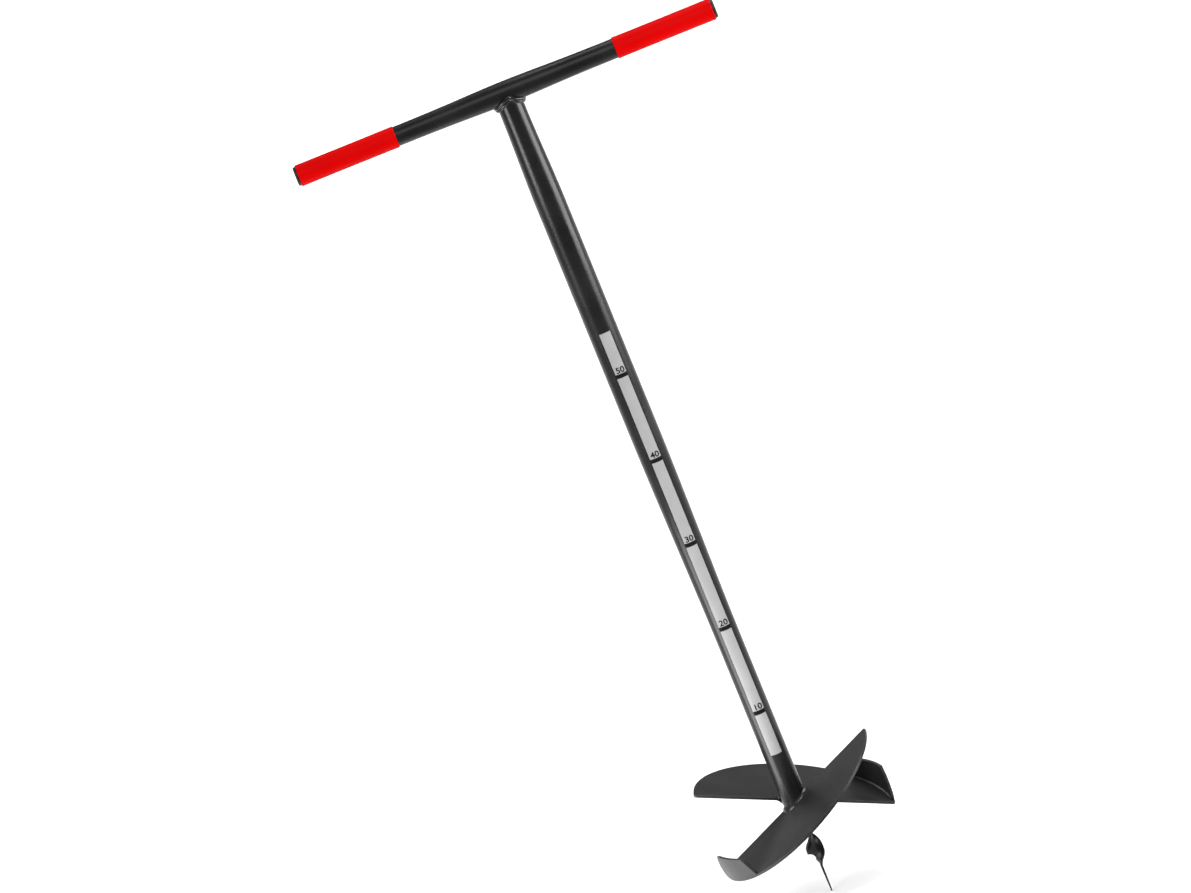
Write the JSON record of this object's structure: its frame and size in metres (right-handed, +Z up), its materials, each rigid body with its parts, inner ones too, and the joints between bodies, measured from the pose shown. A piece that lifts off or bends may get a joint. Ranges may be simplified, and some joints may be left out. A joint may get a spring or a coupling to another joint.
{
  "type": "hand earth auger",
  "caption": "Hand earth auger: crossbar with grips welded to a shaft with a printed depth scale, tilted half-disc blades with curved side plates, and a twisted pilot point.",
  "frame": {"origin": "very tip of the pilot point, which is the lowest point, on the shaft's axis", "axes": "+Z up the shaft towards the crossbar, +X along the crossbar, -Y towards the side that carries the depth scale; the tool digs when turned clockwise as seen from above"},
  "size_m": [0.46, 0.2096, 0.9572],
  "materials": {
    "black_coat": "semi-gloss powder coat on welded steel",
    "grip_vinyl": "smooth bright red vinyl sleeve",
    "plug_plastic": "dark moulded plug",
    "scale_film": "silver-grey printed film"
  },
  "bodies": {
    "root": {"depth_scale": "scale_film", "end_plug_left": "plug_plastic", "end_plug_right": "plug_plastic", "front_blade": "black_coat", "front_blade_weld_lower": "black_coat", "front_blade_weld_upper": "black_coat", "front_side_plate": "black_coat", "front_side_plate_weld": "black_coat", "grip_left": "grip_vinyl", "grip_right": "grip_vinyl", "handle_tube": "black_coat", "handle_weld": "black_coat", "pilot_point": "black_coat", "pilot_weld": "black_coat", "rear_blade": "black_coat", "rear_blade_weld_lower": "black_coat", "rear_blade_weld_upper": "black_coat", "rear_side_plate": "black_coat", "rear_side_plate_weld": "black_coat", "shaft_foot_disc": "black_coat", "shaft_tube": "black_coat"}
  },
  "joints": []
}
